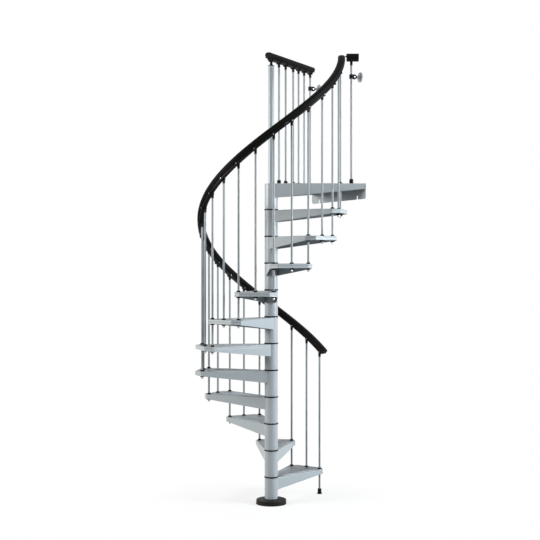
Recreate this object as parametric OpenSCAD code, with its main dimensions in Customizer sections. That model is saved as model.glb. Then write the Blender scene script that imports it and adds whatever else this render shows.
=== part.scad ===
// Spiral staircase: steel treads with hub tubes stacked on a central pole, thin balusters on the
// outer edge, a helical handrail, and a three-sided landing with its own railing.
// The origin is on the pole's axis at floor level. +Z is up, and the landing's front edge lies
// along +X. The stair climbs counter-clockwise seen from above.

/* [Stair] */
// Height from the top of one tread to the top of the next
rise = 210; // [180:1:255]
// Number of treads below the landing
tread_count = 11; // [9:1:12]
// Turn from one tread to the next, in degrees
step_angle = 28.6; // [23:0.1:29]
// Direction of the highest corner baluster, in degrees from the landing's front edge
top_angle = -2.3; // [-5:0.1:1]
// Radius of the circle that the balusters stand on
rail_r = 543; // [440:1:700]

/* [Pole] */
// Outer diameter of the hub tubes
hub_d = 103; // [85:1:125]
// Wall of the hub tubes
hub_wall = 3; // [2:0.5:5]
// Diameter of the inner pole and of the newel post above it
pole_d = 45; // [36:1:56]
// Wall of the inner pole and of the newel post
pole_wall = 3; // [2:0.5:5]
// Thickness of the spacer ring between two hub tubes
ring_t = 10; // [6:0.5:14]
// How far a spacer ring stands out past the hub tubes
ring_proud = 3.5; // [1:0.5:8]
// Height of the newel post above the landing
newel_h = 925; // [780:5:1050]

/* [Base] */
// Diameter of the floor plate
base_d = 200; // [190:1:220]
// Thickness of the floor plate
base_t = 10; // [8:1:14]
// Height at which the lowest hub tube starts
base_h = 41; // [36:1:60]
// Diameter of the circle of anchor holes
anchor_pcd = 160; // [145:1:165]
// Diameter of each anchor hole
anchor_d = 12; // [10:0.5:14]
// Diameter of the round cover over the floor plate
cover_d = 240; // [236:1:280]
// Wall of the cover
cover_wall = 3; // [2:0.5:4]

/* [Treads] */
// Thickness of the sheet steel
sheet_t = 2.5; // [2:0.5:4]
// Depth of the rim around each tread
rim_h = 32; // [28:1:50]
// Depth of a tread's side plates where they meet the hub tube
side_h = 95; // [70:1:130]
// Depth of a tread's side plates at its outer corners
side_end_h = 37; // [30:1:60]
// Distance from a corner hole to the tread's side edge
side_margin = 30; // [24:1:36]
// Distance from the middle hole to the tread's outer edge
outer_margin = 45; // [30:1:56]
// Distance from a corner hole to the cut-off corner
corner_margin = 27; // [20:0.5:32]
// Direction that each cut-off corner faces, in degrees from the tread's middle
corner_angle = 49; // [44:1:56]
// How far each side plate lies inside the hub tube's outer side
side_inset = 10; // [5:0.1:12]

/* [Landing] */
// Direction of the landing's railing, in degrees
landing_angle = 61.8; // [50:0.1:75]
// Direction that the landing's outer edge faces, in degrees
outer_angle = 26; // [20:0.1:36]
// Distance from the baluster circle to the landing's outer edge
landing_overhang = 105; // [80:1:160]
// How far the landing's front edge lies inside the hub tube's outer side
front_inset = 6.5; // [3:0.5:10]
// How far the landing's back edge lies inside the hub tube's outer side
back_inset = 3.5; // [3:0.5:10]
// Depth of the landing's side plates at their outer end
landing_rim_h = 43.5; // [36:0.5:60]
// Depth of the landing's side plates where they meet the hub tube
landing_side_h = 112.5; // [80:0.5:130]
// Depth of the wall flange on the landing's outer edge
flange_h = 121; // [90:1:150]
// Thickness of the wall flange
flange_t = 4; // [3:0.5:6]
// Width of the slots in the wall flange
slot_w = 15; // [7:0.5:20]
// Height of the slots in the wall flange
slot_h = 31; // [20:1:40]
// Distance from each end of the wall flange to its slot
slot_inset = 131; // [80:1:180]
// Distance from the pole's axis to the first baluster of the landing's railing
railing_first = 131; // [110:1:160]
// Distance from the last baluster of the landing's railing to the landing's back corner
railing_last = 134; // [60:1:160]

/* [Balusters] */
// Outer diameter of the balusters
baluster_d = 16; // [12:0.5:20]
// Wall of the balusters
baluster_wall = 1.5; // [1:0.5:3]
// Diameter of the collars where the balusters pass the treads
collar_d = 31; // [27:0.5:34]
// Height of the collars on top of the treads
collar_h = 11; // [6:0.5:16]
// Diameter of the washers under the treads
washer_d = 34; // [28:0.5:38]
// Height of the washers under the treads
washer_h = 13; // [5:0.5:16]
// Diameter of the cap nuts under the treads
nut_d = 21; // [19:0.5:24]
// Height of the cap nuts under the treads
nut_h = 16; // [12:0.5:20]
// Height of the sockets on the landing
socket_h = 36; // [24:1:50]
// Height of the foot under the lowest baluster
foot_h = 43; // [30:1:60]
// Diameter of that foot at the floor
foot_d = 40; // [34:1:50]

/* [Handrail] */
// Height of the handrail's top above the tread line, at each corner baluster
rail_height = 1020; // [880:1:1120]
// How far the upper end of the spiral handrail dips below that line
rail_dip = 18; // [0:1:24]
// How far the spiral handrail's middle lies outside the balusters
rail_out = 9; // [0:0.5:10]
// Width of the handrail
rail_w = 57; // [44:1:60]
// Height of the handrail with the carrier strip below it
rail_h = 60; // [56:1:68]
// Height of the carrier strip
strip_h = 16; // [16:0.5:20]
// Width of the carrier strip
strip_w = 34; // [28:1:36]
// How far the handrail runs on before the lowest baluster, in degrees
rail_lead = 6.1; // [5.5:0.1:9]
// Height of the landing rail's top above the landing's tread line
landing_rail_height = 1021; // [900:1:1140]
// Length of the landing rail beyond the pole's axis
rail_back = 49; // [40:1:70]
// Length of the landing rail beyond its last baluster
rail_ahead = 35; // [28:1:60]
// Distance from the baluster circle to the baluster at the landing's front edge
end_post_offset = 87; // [75:1:100]
// Length of the short rail on that baluster
end_rail_l = 95; // [80:1:110]
// Length of the sockets that hold the balusters below the handrails
holder_h = 32; // [24:1:45]

/* [Wall brackets] */
// Height of the wall brackets above the landing's tread line
bracket_height = 837; // [700:1:900]
// Diameter of the wall roses
rose_d = 80; // [60:1:100]

/* [Hidden] */
// ---- clearances and small fixed sizes ----
gap = 0.3;
rail_gap = 0.9;
arc_fn = 64;
ring_step = 2.5;
cap_t = 3;
flange_cut = 25;
boss_d = hub_d - 1;
holder_d = baluster_d + 5;
newel_cap_h = 14;
end_rail_drop = 4;
end_rail_shift = 10;
strip_short = 18;
strip_lead = 1;
link_d = 11;
link_drop = 9;
link_y = 4;
clamp_wall = 8;
clamp_h = 34;
lug_x = 27;
lug_r = 20;
lug_t = 12;
arm_end = 50;

// ---- heights ----
function tread_top(n) = n * rise - ring_t / 2;
landing_n = tread_count + 1;
landing_top = tread_top(landing_n);
newel_top = landing_top + newel_h;
tread_line_top = landing_n * rise;
landing_rail_top = tread_line_top + landing_rail_height;
end_rail_top = landing_rail_top - end_rail_drop;
bracket_z = tread_line_top + bracket_height;

// ---- balusters: corner baluster k stands where tread k ends and tread k + 1 begins ----
last_angle = 360 + top_angle;
first_angle = last_angle - step_angle * tread_count;
function baluster_angle(k) = first_angle + step_angle * k;
function on_circle(r, a) = [r * cos(a), r * sin(a)];
rail_middle_r = rail_r + rail_out;
// The dip starts half a step before the end and grows with the square of the way gone since
dip_angle = step_angle / 2;
function dip_share(a) = max(0, (a - last_angle) / dip_angle + 1);
function rail_top(a) = rise * (1 + (a - first_angle) / step_angle) + rail_height
    - rail_dip * pow(dip_share(a), 2);
function rail_slope(a) = atan((rise / step_angle - 2 * rail_dip * dip_share(a) / dip_angle)
    / (rail_middle_r * PI / 180));
// The section is square to the climb, so the one whose underside lies over a post starts lower down
function lean_angle(a) = rail_h * sin(rail_slope(a)) / rail_middle_r * 180 / PI;
function section_over(a) = a - lean_angle(a - lean_angle(a));
function under_rail(a) = let (b = section_over(a)) rail_top(b) - rail_h * cos(rail_slope(b));

// ---- treads: u runs out along the middle, v across ----
corner_hole = on_circle(rail_r, step_angle / 2);
side_offset = hub_d / 2 - side_inset;
side_angle = step_angle / 2 - asin((side_offset - side_margin) / rail_r);
side_dir = [cos(side_angle), sin(side_angle)];
side_normal = [-sin(side_angle), cos(side_angle)];
cut_normal = [cos(corner_angle), sin(corner_angle)];

// Where the line with normal a at distance da crosses the line with normal b at distance db
function cross(a, da, b, db) =
    let (d = a[0] * b[1] - a[1] * b[0])
    [(da * b[1] - db * a[1]) / d, (a[0] * db - b[0] * da) / d];
function across(points) = [for (p = points) [p[0], -p[1]]];
function reversed(points) = [for (i = [len(points) - 1:-1:0]) points[i]];

// The tread's outline with every edge moved in by inset
function tread_outline(inset) =
    let (side_d = side_offset - inset,
         cut_d = corner_hole * cut_normal + corner_margin - inset,
         outer_d = rail_r + outer_margin - inset,
         upper = [[0, side_d / side_normal[1]],
                  cross(side_normal, side_d, cut_normal, cut_d),
                  cross(cut_normal, cut_d, [1, 0], outer_d)])
    concat(across(upper), reversed(upper));

// ---- landing: a triangle between its front edge, its outer edge and its railing ----
front_margin = hub_d / 2 - front_inset;
back_margin = hub_d / 2 - back_inset;
front_normal = [0, -1];
outer_normal = [cos(outer_angle), sin(outer_angle)];
back_dir = [cos(landing_angle), sin(landing_angle)];
back_normal = [-back_dir[1], back_dir[0]];
landing_reach = rail_r + landing_overhang;
landing_edge = landing_reach - flange_t - gap;
function landing_outline(inset) =
    let (front_d = front_margin - inset,
         back_d = back_margin - inset,
         outer_d = landing_edge - inset)
    [cross(front_normal, front_d, outer_normal, outer_d),
     cross(outer_normal, outer_d, back_normal, back_d),
     back_d * back_normal,
     front_d * front_normal];
flange_ends = [cross(front_normal, front_margin, outer_normal, landing_reach),
               cross(outer_normal, landing_reach, back_normal, back_margin)];
flange_l = norm(flange_ends[1] - flange_ends[0]);

// Landing balusters, by their distance from the pole's axis along the railing. They stand a
// little unevenly between the first and the last.
railing_spread = [0, 0.206, 0.442, 0.616, 0.799, 1];
last_rail_r = landing_outline(0)[1] * back_dir - railing_last;
railing_places = [for (s = railing_spread) railing_first + s * (last_rail_r - railing_first)];
end_post_x = rail_r + end_post_offset;
end_post = [end_post_x, 0];
function to_wall(p) = landing_reach - p * outer_normal;

// ---- handrail section: x across, y up from the carrier strip's underside ----
half_w = rail_w / 2;
body_half = [
    [half_w - 5, strip_h],
    [half_w - 2.5, strip_h + 2],
    [half_w - 2.5, strip_h + 5],
    [half_w - 5, strip_h + 7],
    [half_w - 5, strip_h + 10.5],
    [half_w - 0.5, strip_h + 13.5],
    [half_w, rail_h - 22],
    [half_w - 0.5, rail_h - 15],
    [half_w - 3, rail_h - 8.5],
    [half_w - 7.5, rail_h - 4],
    [half_w - 14.5, rail_h - 1],
    [half_w - 20, rail_h]];
function other_half(points) = [for (p = reversed(points)) [-p[0], p[1]]];
body_section = concat(body_half, other_half(body_half));
strip_section = [
    [-strip_w / 2 + 3, 0], [strip_w / 2 - 3, 0], [strip_w / 2, 3],
    [strip_w / 2, strip_h - rail_gap], [-strip_w / 2, strip_h - rail_gap], [-strip_w / 2, 3]];

// ---- node names ----
function tread_name(n) = str("tread_", n < 10 ? "0" : "", n);

// ================= shared shapes =================

// An upright tube or rod that starts at height z
module upright(d, wall, z, h) {
    translate([0, 0, z]) difference() {
        cylinder(d = d, h = h, $fn = arc_fn);
        if (wall > 0) translate([0, 0, -1]) cylinder(d = d - 2 * wall, h = h + 2, $fn = arc_fn);
    }
}

// A round shape turned from half of its outline
module turned(outline) {
    rotate_extrude($fn = arc_fn) polygon(outline);
}

// Places its children on corner baluster k's axis, or between two with a half k
module at_baluster(k) {
    rotate([0, 0, baluster_angle(k)]) translate([rail_r, 0, 0]) children();
}

// Places its children r along the landing's railing
module at_railing(r) {
    rotate([0, 0, landing_angle]) translate([r, 0, 0]) children();
}

// An upright sheet of thickness t that stands on the line y = y0, its outline given in x and z
module sheet(outline, y0, t) {
    translate([0, y0 + t, 0]) rotate([90, 0, 0]) linear_extrude(t) polygon(outline);
}

// ================= pole and base =================

module floor_plate() {
    color("dimgray") difference() {
        union() {
            cylinder(d = base_d, h = base_t, $fn = arc_fn);
            cylinder(d = boss_d, h = base_h, $fn = arc_fn);
        }
        translate([0, 0, base_t]) cylinder(d = pole_d + 2 * gap, h = base_h, $fn = arc_fn);
        for (a = [45:90:315]) rotate([0, 0, a]) translate([anchor_pcd / 2, 0, -1])
            cylinder(d = anchor_d, h = base_t + 2, $fn = arc_fn);
    }
}

module base_cover() {
    r = cover_d / 2;
    top = base_h - gap;
    bore = boss_d / 2 + gap;
    color("black") turned([
        [r - cover_wall, 0], [r, 0], [r, 6], [r - 2, 9], [r - 2, top - 10], [r - 5, top - 6],
        [r - 12, top - 4], [bore + 14, top - 2], [bore + 10, top], [bore, top], [bore, top - cover_wall],
        [bore + 9, top - cover_wall], [bore + 13, top - cover_wall - 2],
        [r - 12, top - cover_wall - 4], [r - cover_wall - 2, top - 10], [r - cover_wall - 2, 8]]);
}

module central_pole() {
    color("silver") upright(pole_d, pole_wall, base_t, landing_top - base_t);
}

module newel_post() {
    color("silver") upright(pole_d, pole_wall, landing_top, newel_h);
}

module spacer_rings() {
    color("black") for (n = [1:tread_count])
        upright(hub_d + 2 * ring_proud, (hub_d + 2 * ring_proud - pole_d) / 2 - gap, tread_top(n), ring_t);
}

module newel_cap() {
    r = pole_d / 2;
    color("black") translate([0, 0, newel_top]) turned([
        [0, 0], [r + 4, 0], [r + 4, 2.5], [r - 3, 5.5], [holder_d / 2 + 3, 10],
        [holder_d / 2 + 1, newel_cap_h], [0, newel_cap_h]]);
}

// Keeps what lies above or below the outline
module inside(outline) {
    intersection() {
        translate([0, 0, -2 * rise]) linear_extrude(2 * rise) polygon(outline);
        union() children();
    }
}

// ================= treads =================

// The tube around the pole that carries tread n
module hub_tube(n) {
    low = n == 1 ? base_h : tread_top(n - 1) + ring_t;
    translate([0, 0, low]) cylinder(d = hub_d, h = tread_top(n) - low, $fn = arc_fn);
}

module hub_bore() {
    translate([0, 0, -1]) cylinder(d = hub_d - 2 * hub_wall, h = landing_top, $fn = arc_fn);
}

// A side plate along x, margin to the left of the axis, drawn too thick so that the outline
// cuts its outer face. It starts in the hub tube's wall and gets shallower towards its end.
module side_plate(margin, deep, shallow, end) {
    start = sqrt(pow(hub_d / 2 - hub_wall / 2, 2) - pow(margin, 2));
    sheet([[start, -sheet_t / 2], [start, -deep], [end, -shallow], [end, -sheet_t / 2]],
        margin - sheet_t, 2 * sheet_t);
}

module tread(n) {
    holes = [corner_hole, [rail_r, 0], [corner_hole[0], -corner_hole[1]]];
    outline = tread_outline(0);
    rim = tread_outline(sheet_t);
    color("gainsboro") rotate([0, 0, baluster_angle(n - 0.5)]) difference() {
        union() {
            translate([0, 0, tread_top(n)]) {
                translate([0, 0, -sheet_t]) linear_extrude(sheet_t) polygon(outline);
                translate([0, 0, -rim_h]) linear_extrude(rim_h - sheet_t / 2) polygon(concat(
                    [for (i = [1:4]) outline[i]], [for (i = [4:-1:1]) rim[i]]));
                inside(outline) for (side = [0, 1]) mirror([0, side, 0])
                    rotate([0, 0, side_angle])
                        side_plate(side_offset, side_h, side_end_h, outline[4] * side_dir);
                for (p = holes) translate([p[0], p[1], -rim_h])
                    cylinder(d = collar_d - 4, h = rim_h - sheet_t / 2, $fn = arc_fn);
            }
            hub_tube(n);
        }
        hub_bore();
        for (p = holes) translate([p[0], p[1], 0])
            cylinder(d = baluster_d + 2 * gap, h = landing_top, $fn = arc_fn);
    }
}

// ================= landing =================

module landing_platform() {
    outline = landing_outline(0);
    rim = landing_outline(sheet_t);
    passing = on_circle(rail_r, last_angle);
    color("gainsboro") difference() {
        union() {
            translate([0, 0, landing_top]) {
                translate([0, 0, -sheet_t]) linear_extrude(sheet_t) polygon(outline);
                inside(outline) {
                    mirror([0, 1, 0])
                        side_plate(front_margin, landing_side_h, landing_rim_h, outline[0][0]);
                    rotate([0, 0, landing_angle])
                        side_plate(back_margin, landing_side_h, landing_rim_h, outline[1] * back_dir);
                }
                translate([0, 0, -landing_rim_h]) linear_extrude(landing_rim_h - sheet_t / 2)
                    polygon([outline[0], outline[1], rim[1], rim[0]]);
                translate([passing[0], passing[1], -rim_h])
                    cylinder(d = collar_d - 4, h = rim_h - sheet_t / 2, $fn = arc_fn);
            }
            hub_tube(landing_n);
        }
        translate([0, 0, -2 * sheet_t]) hub_bore();
        translate([0, 0, tread_top(tread_count)]) cylinder(d = pole_d + 2 * gap, h = 2 * rise, $fn = arc_fn);
        translate([passing[0], passing[1], 0])
            cylinder(d = baluster_d + 2 * gap, h = 2 * landing_top, $fn = arc_fn);
    }
}

module wall_flange() {
    slot_top = -flange_h + slot_h;
    color("silver") translate([flange_ends[0][0], flange_ends[0][1], landing_top])
        rotate([0, 0, outer_angle + 90]) sheet([
            [0, 0], [0, flange_cut - flange_h], [flange_cut, -flange_h],
            [slot_inset - slot_w / 2, -flange_h], [slot_inset - slot_w / 2, slot_top],
            [slot_inset + slot_w / 2, slot_top], [slot_inset + slot_w / 2, -flange_h],
            [flange_l - slot_inset - slot_w / 2, -flange_h], [flange_l - slot_inset - slot_w / 2, slot_top],
            [flange_l - slot_inset + slot_w / 2, slot_top], [flange_l - slot_inset + slot_w / 2, -flange_h],
            [flange_l - flange_cut, -flange_h], [flange_l, flange_cut - flange_h], [flange_l, 0]],
            0, flange_t);
}

// ================= balusters =================

// The top of the baluster at corner k, inside its holder
function holder_low(k) = under_rail(baluster_angle(k)) - holder_h;
// The underside of the washer under tread n
function washer_low(n) = tread_top(n) - rim_h - washer_h;

module start_baluster() {
    color("silver") at_baluster(0)
        upright(baluster_d, baluster_wall, foot_h / 2, holder_low(0) - foot_h / 2);
}

module baluster_foot() {
    r = baluster_d / 2 + gap;
    top_r = 15.5;
    color("black") at_baluster(0) turned([
        [0, 0], [foot_d / 2 - 3, 0], [foot_d / 2, 3], [foot_d / 2, 6], [top_r + 1, 14], [top_r, 17],
        [top_r, foot_h - 2], [top_r - 2, foot_h], [r, foot_h - 4], [r, foot_h / 2], [0, foot_h / 2]]);
}

module corner_balusters() {
    color("silver") for (k = [1:tread_count]) at_baluster(k)
        upright(baluster_d, baluster_wall, washer_low(k), holder_low(k) - washer_low(k));
}

module middle_balusters() {
    color("silver") for (n = [1:tread_count]) at_baluster(n - 0.5)
        upright(baluster_d, baluster_wall, washer_low(n), holder_low(n - 0.5) - washer_low(n));
}

module landing_balusters() {
    top = landing_rail_top - rail_h - holder_h;
    color("silver") for (r = railing_places) at_railing(r)
        upright(baluster_d, baluster_wall, landing_top, top - landing_top);
}

module end_baluster() {
    top = end_rail_top - rail_h - holder_h;
    color("silver") translate([end_post[0], end_post[1], 0])
        upright(baluster_d, baluster_wall, landing_top, top - landing_top);
}

// A low dome around a baluster, standing on a tread
module collar() {
    r = baluster_d / 2 + gap;
    turned([[r, 0], [collar_d / 2, 0], [collar_d / 2, collar_h * 0.4],
        [collar_d / 2 - 2.5, collar_h * 0.8], [collar_d / 2 - 5, collar_h], [r, collar_h]]);
}

module upper_collars() {
    color("black") for (n = [1:tread_count]) for (k = [n - 1, n - 0.5, n])
        at_baluster(k) translate([0, 0, tread_top(n)]) collar();
}

module lower_washers() {
    r = baluster_d / 2 + gap;
    color("black") for (n = [1:landing_n]) for (k = n > tread_count ? [n - 1] : [n - 1, n - 0.5, n])
        at_baluster(k) translate([0, 0, washer_low(n)]) turned([
            [r, 0], [washer_d / 2 - 4, 0], [washer_d / 2, 4], [washer_d / 2, washer_h], [r, washer_h]]);
}

module cap_nuts() {
    r = nut_d / 2;
    color("silver") for (n = [1:tread_count]) for (k = [n - 0.5, n])
        at_baluster(k) translate([0, 0, washer_low(n)]) turned([
            [0, 0], [r, 0], [r, -nut_h * 0.4], [r * 0.85, -nut_h * 0.7], [r * 0.5, -nut_h * 0.94], [0, -nut_h]]);
}

module landing_socket() {
    r = baluster_d / 2 + gap;
    translate([0, 0, landing_top]) turned([[r, 0], [collar_d / 2 + 1, 0], [collar_d / 2 + 1, 3],
        [collar_d / 2, 5], [collar_d / 2, socket_h - 3], [collar_d / 2 - 3, socket_h], [r, socket_h]]);
}

module landing_sockets() {
    color("black") {
        for (r = railing_places) at_railing(r) landing_socket();
        translate([end_post[0], end_post[1], 0]) landing_socket();
        at_baluster(tread_count) translate([0, 0, landing_top]) collar();
    }
}

// ================= handrails =================

// A holder between a post and a rail that climbs at the given slope along x. Its origin is where
// the post's axis meets the rail's underside. Two ears clasp the carrier strip, whose middle lies
// a little to the right of the post when one looks uphill.
module holder(slope, length, out = 0) {
    ear_r = strip_h / 2 - rail_gap;
    ear_y = strip_w / 2 + rail_gap;
    ear_t = 3;
    bar_t = 5;
    low = -bar_t - rail_gap;
    difference() {
        union() {
            translate([0, 0, -length]) cylinder(d = holder_d, h = length + rail_w, $fn = arc_fn);
            rotate([0, -slope, 0]) translate([-ear_r, -ear_y - ear_t - out, low])
                cube([2 * ear_r, 2 * (ear_y + ear_t), bar_t]);
        }
        rotate([0, -slope, 0]) translate([-rail_w * 2, -rail_w, -rail_gap])
            cube([rail_w * 4, rail_w * 2, rail_w * 4]);
    }
    rotate([0, -slope, 0]) for (side = [-1, 1]) translate([0, side * (ear_y + ear_t / 2) - out, 0]) {
        translate([0, 0, strip_h / 2]) rotate([90, 0, 0])
            cylinder(r = ear_r, h = ear_t, center = true, $fn = arc_fn);
        translate([-ear_r, -ear_t / 2, low]) cube([2 * ear_r, ear_t, strip_h / 2 - low]);
    }
}

module rail_holders() {
    color("black") for (k = [0:0.5:tread_count]) let (a = baluster_angle(k)) at_baluster(k)
        translate([0, 0, under_rail(a)]) rotate([0, 0, 90])
            holder(rail_slope(section_over(a)), holder_h, rail_out);
}

module landing_rail_holders() {
    z = landing_rail_top - rail_h;
    color("black") {
        at_railing(0) translate([0, 0, z]) holder(0, z - newel_top - newel_cap_h);
        for (r = railing_places) at_railing(r) translate([0, 0, z]) holder(0, holder_h);
        translate([end_post[0], end_post[1], end_rail_top - rail_h]) holder(0, holder_h);
    }
}

// The point at height y and distance x outwards in the rail's section at angle a. The section is
// flat and square to the climb, and every point of it keeps its own distance from the pole.
function rail_point(a, p) =
    let (up = p[1] - rail_h,
         back = up * sin(rail_slope(a)),
         r = sqrt(pow(rail_middle_r + p[0], 2) - back * back))
    [r * cos(a) + back * sin(a), r * sin(a) - back * cos(a), rail_top(a) + up * cos(rail_slope(a))];

// A section carried along the helix from one angle to another, as one closed solid
module helix_sweep(section, from, to) {
    rings = round((to - from) / ring_step);
    m = len(section);
    points = [for (i = [0:rings]) let (a = from + (to - from) * i / rings)
        for (p = section) rail_point(a, p)];
    sides = [for (i = [0:rings - 1]) for (j = [0:m - 1]) let (q = (j + 1) % m)
        each [[i * m + j, (i + 1) * m + q, i * m + q], [i * m + j, (i + 1) * m + j, (i + 1) * m + q]]];
    first_end = [for (j = [0:m - 1]) j];
    last_end = [for (j = [m - 1:-1:0]) rings * m + j];
    polyhedron(points, concat(sides, [first_end, last_end]));
}

rail_from = first_angle - rail_lead;
module spiral_handrail() {
    color("black") helix_sweep(body_section, rail_from, last_angle);
}

module spiral_rail_strip() {
    color("black") helix_sweep(strip_section, rail_from + strip_lead, last_angle - strip_lead);
}

// A straight rail along x, with its underside at z = 0
module straight(section, x0, x1) {
    translate([x0, 0, 0]) rotate([90, 0, 90]) linear_extrude(x1 - x0) polygon(section);
}

module landing_handrail() {
    color("black") at_railing(0) translate([0, 0, landing_rail_top - rail_h])
        straight(body_section, cap_t - rail_back, last_rail_r + rail_ahead - cap_t);
}

module landing_rail_strip() {
    color("black") at_railing(0) translate([0, 0, landing_rail_top - rail_h])
        straight(strip_section, strip_short - rail_back, last_rail_r + rail_ahead - strip_short);
}

end_rail_x0 = end_post_x + end_rail_shift - end_rail_l / 2;
end_rail_x1 = end_rail_x0 + end_rail_l;
module end_rail() {
    color("black") translate([0, 0, end_rail_top - rail_h])
        straight(body_section, end_rail_x0 + cap_t, end_rail_x1 - cap_t);
}

module end_rail_strip() {
    color("black") translate([0, 0, end_rail_top - rail_h])
        straight(strip_section, end_rail_x0 + cap_t, end_rail_x1 - cap_t);
}

// Flat plates that close the ends of the rails
module rail_end_caps() {
    cap_half = concat([[strip_w / 2 - 3, 0], [strip_w / 2, 3], [strip_w / 2, strip_h]], body_half);
    full_cap = concat(cap_half, other_half(cap_half));
    color("black") {
        at_railing(0) translate([0, 0, landing_rail_top - rail_h]) {
            straight(body_section, -rail_back, cap_t - rail_back);
            straight(body_section, last_rail_r + rail_ahead - cap_t, last_rail_r + rail_ahead);
        }
        translate([0, 0, end_rail_top - rail_h]) {
            straight(full_cap, end_rail_x0, end_rail_x0 + cap_t);
            straight(full_cap, end_rail_x1 - cap_t, end_rail_x1);
        }
        for (side = [[rail_from, -cap_t], [last_angle, 0]]) let (a = side[0])
            rotate([0, 0, a]) translate([rail_middle_r, 0, rail_top(a)]) rotate([rail_slope(a), 0, 0])
                translate([0, side[1] + cap_t, -rail_h]) rotate([90, 0, 0])
                    linear_extrude(cap_t) polygon(body_section);
    }
}

// A short bar from the top of the spiral handrail to the short rail on the landing
module rail_link() {
    x0 = rail_middle_r + half_w + gap;
    y = rail_middle_r * sin(last_angle) + link_y;
    color("black") translate([x0, y, rail_top(last_angle) - link_drop])
        rotate([0, 90, 0])
        cylinder(d = link_d, h = end_rail_x0 - gap - x0, $fn = arc_fn);
}

// ================= wall brackets =================

bracket_posts = [end_post, last_rail_r * back_dir];

module bracket_clamps() {
    r = baluster_d / 2 + gap;
    color("black") for (p = bracket_posts)
        translate([p[0], p[1], bracket_z]) rotate([0, 0, outer_angle]) difference() {
            union() {
                translate([0, 0, -clamp_h / 2]) cylinder(r = r + clamp_wall, h = clamp_h, $fn = arc_fn);
                translate([lug_x, lug_t / 2, 0]) rotate([90, 0, 0]) cylinder(r = lug_r, h = lug_t, $fn = arc_fn);
                translate([lug_x, 0, 0]) rotate([0, 90, 0]) cylinder(d = lug_t, h = arm_end - lug_x, $fn = arc_fn);
            }
            translate([0, 0, -clamp_h]) cylinder(r = r, h = 2 * clamp_h, $fn = arc_fn);
        }
}

module wall_roses() {
    color("silver") for (p = bracket_posts) {
        l = to_wall(p);
        translate([p[0], p[1], bracket_z]) rotate([0, 0, outer_angle]) rotate([0, 90, 0]) turned([
            [0, arm_end], [9, arm_end], [9, l - 20], [15, l - 9], [rose_d / 2 - 3, l - 6],
            [rose_d / 2, l - 3], [rose_d / 2, l], [0, l]]);
    }
}

// ================= nodes =================

floor_plate();
base_cover();
central_pole();
spacer_rings();
for (n = [1:tread_count]) tread(n);
landing_platform();
wall_flange();
newel_post();
newel_cap();
start_baluster();
baluster_foot();
corner_balusters();
middle_balusters();
landing_balusters();
end_baluster();
upper_collars();
lower_washers();
cap_nuts();
landing_sockets();
rail_holders();
landing_rail_holders();
spiral_handrail();
spiral_rail_strip();
landing_handrail();
landing_rail_strip();
end_rail();
end_rail_strip();
rail_end_caps();
rail_link();
bracket_clamps();
wall_roses();
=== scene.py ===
"""Looks of the spiral staircase: pressed steel treads on a stacked hub, thin balusters, a helical handrail.

Lengths are in millimetres throughout, and new_piece() turns them into metres when it makes the mesh.
The driving sizes are those of the frame.
"""

import math

import bmesh
import bpy
import numpy as np
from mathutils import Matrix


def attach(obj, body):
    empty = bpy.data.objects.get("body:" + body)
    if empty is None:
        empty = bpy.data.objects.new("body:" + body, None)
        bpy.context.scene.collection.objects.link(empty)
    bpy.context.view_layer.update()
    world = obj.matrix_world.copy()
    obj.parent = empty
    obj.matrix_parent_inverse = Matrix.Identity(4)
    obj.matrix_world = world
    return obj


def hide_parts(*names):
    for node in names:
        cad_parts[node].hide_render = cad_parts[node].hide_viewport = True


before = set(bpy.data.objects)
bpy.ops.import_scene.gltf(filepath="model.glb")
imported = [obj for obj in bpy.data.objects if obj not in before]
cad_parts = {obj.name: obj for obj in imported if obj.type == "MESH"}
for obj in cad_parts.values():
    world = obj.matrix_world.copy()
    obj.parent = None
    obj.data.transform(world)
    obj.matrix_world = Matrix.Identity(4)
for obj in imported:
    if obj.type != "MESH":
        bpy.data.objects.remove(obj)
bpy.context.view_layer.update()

# ---------------------------------------------------------------- driving sizes
MM = 0.001
RISE = 210.0
TREADS = 11
LANDING = TREADS + 1
STEP_ANGLE = 28.6
LAST_ANGLE = 357.7
FIRST_ANGLE = LAST_ANGLE - STEP_ANGLE * TREADS
RAIL_R = 543.0

# pole, hub tubes, newel and floor cover
HUB_R = 51.5
HUB_WALL = 3.0
POLE_R = 22.5
POLE_WALL = 3.0
RING_T = 10.0
RING_R = HUB_R + 3.5
NEWEL_H = 925.0
NEWEL_CAP_H = 14.0
BASE_H = 41.0
COVER_R = 120.0

# treads: folded edges, and how far each edge lies from the pole's axis or from the baluster holes
SHEET = 2.5
RIM_H = 32.0
SIDE_H = 95.0
SIDE_END_H = 37.0
SIDE_LINE = 41.5
SIDE_MARGIN = 30.0
OUTER_MARGIN = 45.0
CORNER_MARGIN = 27.0
CORNER_ANGLE = 49.0

# landing, and its flange at the upper floor
LANDING_ANGLE = 61.8
OUTER_ANGLE = 26.0
LANDING_REACH = 648.0
FRONT_MARGIN = 45.0
BACK_MARGIN = 48.0
LANDING_RIM_H = 43.5
LANDING_SIDE_H = 112.5
FLANGE_H = 121.0
FLANGE_T = 4.0
SLOT_W = 15.0
SLOT_H = 31.0
SLOT_INSET = 131.0
FLANGE_CUT = 25.0

# balusters and their fittings; RAILING holds the distances from the newel's axis along the landing's back
BALUSTER_R = 8.0
BALUSTER_WALL = 1.5
COLLAR_R = 15.5
COLLAR_H = 11.0
WASHER_R = 17.0
WASHER_H = 13.0
NUT_H = 16.0
SOCKET_H = 36.0
FOOT_H = 43.0
FOOT_R = 20.0
END_POST_X = 630.0
RAILING = (131.0, 247.0, 380.0, 478.0, 581.0, 694.3)

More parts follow.
